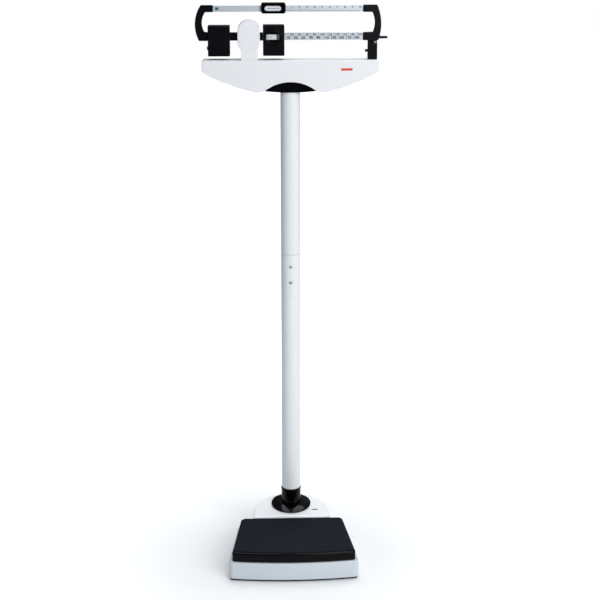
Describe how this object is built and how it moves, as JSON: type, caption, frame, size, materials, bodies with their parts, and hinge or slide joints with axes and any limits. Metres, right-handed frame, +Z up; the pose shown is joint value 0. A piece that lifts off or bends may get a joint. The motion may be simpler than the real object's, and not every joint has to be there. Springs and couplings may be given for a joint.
{
  "type": "physician beam scale",
  "caption": "White mechanical column scale with an eye-level weighing beam, sliding poises and a rubber-topped platform.",
  "frame": {"origin": "middle of the bounding box's footprint, on the floor under the feet", "axes": "+Z up along the column, +X to the right of a reader who stands on the platform, +Y away from them"},
  "size_m": [0.5226, 0.3766, 1.5555],
  "materials": {
    "white_enamel": "gloss",
    "tube_enamel": "gloss",
    "black_plastic": "semi-gloss moulded",
    "black_casting": "satin powder coat",
    "beam_aluminium": "satin anodised",
    "rubber_mat": "fine ribbed",
    "rubber_foot": "matt",
    "steel": "zinc plated",
    "cast_iron": "primed",
    "brass": "turned",
    "label": "printed acrylic",
    "green": "printed",
    "red": "printed"
  },
  "bodies": {
    "stand": {"base_tray": "white_enamel", "base_rim": "rubber_foot", "foot_pads": "rubber_foot", "lever_stands": "cast_iron", "tail_cover": "white_enamel", "level_vial": "black_plastic", "column_socket": "cast_iron", "column_boot": "black_plastic", "boot_screw": "steel", "lower_tube": "tube_enamel", "upper_tube": "tube_enamel", "joint_sleeve": "steel", "joint_screws": "steel", "housing_front": "white_enamel", "housing_rear": "white_enamel", "housing_screws": "steel", "badge": "red", "head_frame": "steel", "head_collar": "black_plastic", "pivot_bracket": "steel", "pivot_pin": "steel", "fulcrum_stand": "cast_iron", "fulcrum_bearings": "steel", "fulcrum_cover_front": "white_enamel", "fulcrum_cover_rear": "white_enamel", "lock_post": "black_casting", "lock_pivot": "steel"},
    "platform": {"platform_cover": "black_plastic", "platform_mat": "rubber_mat", "platform_bearings": "steel"},
    "long_lever_body": {"long_lever": "cast_iron", "long_lever_knives": "steel", "lever_link": "steel"},
    "short_lever_body": {"short_lever": "cast_iron", "short_lever_knives": "steel"},
    "draw_rod_body": {"draw_rod": "steel", "draw_rod_stirrups": "steel"},
    "head_lever_body": {"head_lever": "steel"},
    "shackle_body": {"load_shackle": "steel"},
    "beam": {"lower_scale_bar": "beam_aluminium", "upper_scale_bar": "beam_aluminium", "arm_sleeve": "black_casting", "left_bracket": "black_casting", "right_bracket": "black_casting", "beam_knives": "steel", "green_mark": "green", "counterweight": "black_casting"},
    "zero_screw_body": {"zero_screw": "steel"},
    "zero_weight_body": {"zero_weight": "brass"},
    "main_poise": {"main_poise_body": "black_casting", "main_poise_boss": "black_plastic", "main_poise_window": "label", "main_poise_pawl": "steel"},
    "fine_poise": {"fine_poise_body": "black_plastic", "fine_poise_window": "label", "fine_poise_spring": "steel"},
    "lock_lever_body": {"lock_lever": "black_plastic"},
    "thumb_screw_body": {"thumb_screw": "black_plastic"}
  },
  "joints": [
    {"name": "beam_tilt", "type": "hinge", "parent": "stand", "child": "beam", "pos_m": [-0.1111, 0.12575, 1.462], "axis": [0, 1, 0], "range_deg": [-1, 1]},
    {"name": "main_poise_slide", "type": "slide", "parent": "beam", "child": "main_poise", "axis": [1, 0, 0], "range_m": [0, 0.204]},
    {"name": "fine_poise_slide", "type": "slide", "parent": "beam", "child": "fine_poise", "axis": [1, 0, 0], "range_m": [0, 0.204]},
    {"name": "zero_screw_turn", "type": "hinge", "parent": "beam", "child": "zero_screw_body", "pos_m": [-0.2051, 0.12575, 1.435], "axis": [1, 0, 0], "range_deg": [-725, 725]},
    {"name": "zero_weight_slide", "type": "slide", "parent": "beam", "child": "zero_weight_body", "axis": [1, 0, 0], "range_m": [-0.002, 0.002]},
    {"name": "shackle_slide", "type": "slide", "parent": "stand", "child": "shackle_body", "axis": [0, 0, 1], "range_m": [-0.00032044, 0.00032044]},
    {"name": "head_lever_turn", "type": "hinge", "parent": "stand", "child": "head_lever_body", "pos_m": [0.0549, 0.12575, 1.379], "axis": [0, 1, 0], "range_deg": [-0.099783, 0.099783]},
    {"name": "draw_rod_slide", "type": "slide", "parent": "stand", "child": "draw_rod_body", "axis": [0, 0, 1], "range_m": [-0.00010449, 0.00010449]},
    {"name": "long_lever_turn", "type": "hinge", "parent": "stand", "child": "long_lever_body", "pos_m": [-0.0051, -0.14925, 0.03], "axis": [1, 0, 0], "range_deg": [-0.021771, 0.021771]},
    {"name": "short_lever_turn", "type": "hinge", "parent": "stand", "child": "short_lever_body", "pos_m": [-0.0051, 0.03075, 0.048], "axis": [1, 0, 0], "range_deg": [-0.021771, 0.021771]},
    {"name": "platform_slide", "type": "slide", "parent": "stand", "child": "platform", "axis": [0, 0, 1], "range_m": [-0.000011399, 0.000011399]},
    {"name": "lock_lever_turn", "type": "hinge", "parent": "stand", "child": "lock_lever_body", "pos_m": [0.2259, 0.14075, 1.45], "axis": [0, 1, 0], "range_deg": [0, 60]},
    {"name": "thumb_screw_turn", "type": "hinge", "parent": "stand", "child": "thumb_screw_body", "pos_m": [0.2059, 0.12575, 1.428], "axis": [1, 0, 0], "continuous": true}
  ],
  "couplings": [
    {"joint": "zero_screw_turn", "follows": "zero_weight_slide", "rad_per_m": 6283.2},
    {"joint": "shackle_slide", "follows": "beam_tilt", "m_per_rad": 0.018},
    {"joint": "head_lever_turn", "follows": "beam_tilt", "ratio": 0.097826},
    {"joint": "draw_rod_slide", "follows": "beam_tilt", "m_per_rad": 0.0058696},
    {"joint": "long_lever_turn", "follows": "beam_tilt", "ratio": 0.021344},
    {"joint": "short_lever_turn", "follows": "beam_tilt", "ratio": -0.021344},
    {"joint": "platform_slide", "follows": "beam_tilt", "m_per_rad": 0.00064032}
  ]
}
